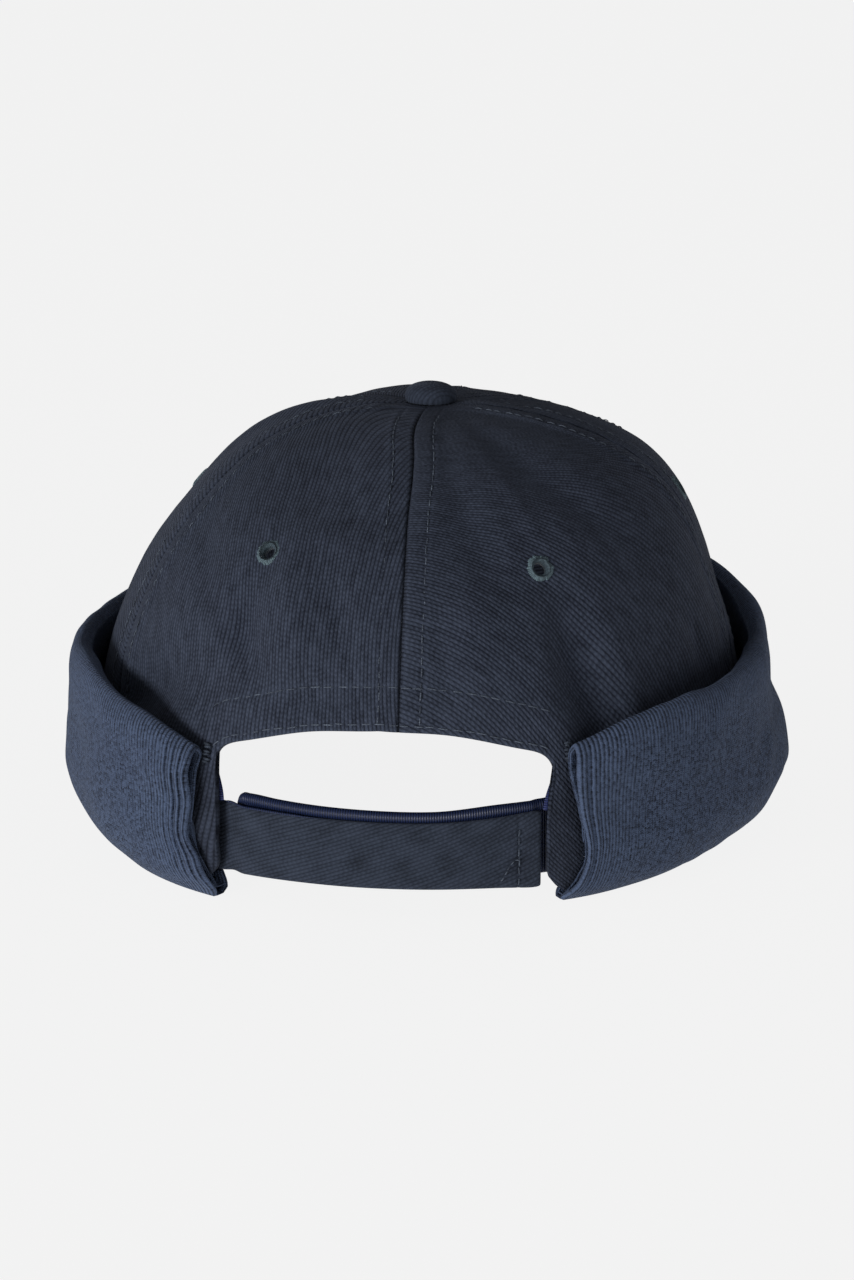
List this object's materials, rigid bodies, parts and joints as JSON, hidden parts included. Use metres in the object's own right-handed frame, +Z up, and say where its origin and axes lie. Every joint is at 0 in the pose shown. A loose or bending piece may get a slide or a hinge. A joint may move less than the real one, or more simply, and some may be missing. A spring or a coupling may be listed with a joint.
{
  "type": "sailor cap",
  "caption": "Brimless panelled cloth cap with a turned-up rolled cuff, covered button, sewn eyelets and an arched back opening with a closing strap.",
  "frame": {"origin": "on the floor under the middle of the cap's overall outline, where the cuff's lower fold rests", "axes": "+Z up through the crown, -Y out of the back where the strap is, +X to the right as seen from the back"},
  "size_m": [0.197, 0.2046, 0.1183],
  "materials": {
    "twill": "charcoal navy cotton twill",
    "knit": "navy fine-ribbed cloth",
    "webbing": "shiny ribbed closing tape",
    "binding": "smooth blue woven tape",
    "thread": "grey-blue embroidery thread"
  },
  "bodies": {
    "root": {"crown_back_right": "twill", "crown_side_right": "twill", "crown_front_right": "twill", "crown_front_left": "twill", "crown_side_left": "twill", "crown_back_left": "twill", "eyelet_back_right": "thread", "eyelet_side_right": "thread", "eyelet_front_right": "thread", "eyelet_front_left": "thread", "eyelet_side_left": "thread", "eyelet_back_left": "thread", "button": "twill", "cuff": "knit", "strap_outer": "twill", "strap_inner": "webbing", "binding_tape": "binding", "tack_left": "thread", "tack_right": "thread"}
  },
  "joints": []
}
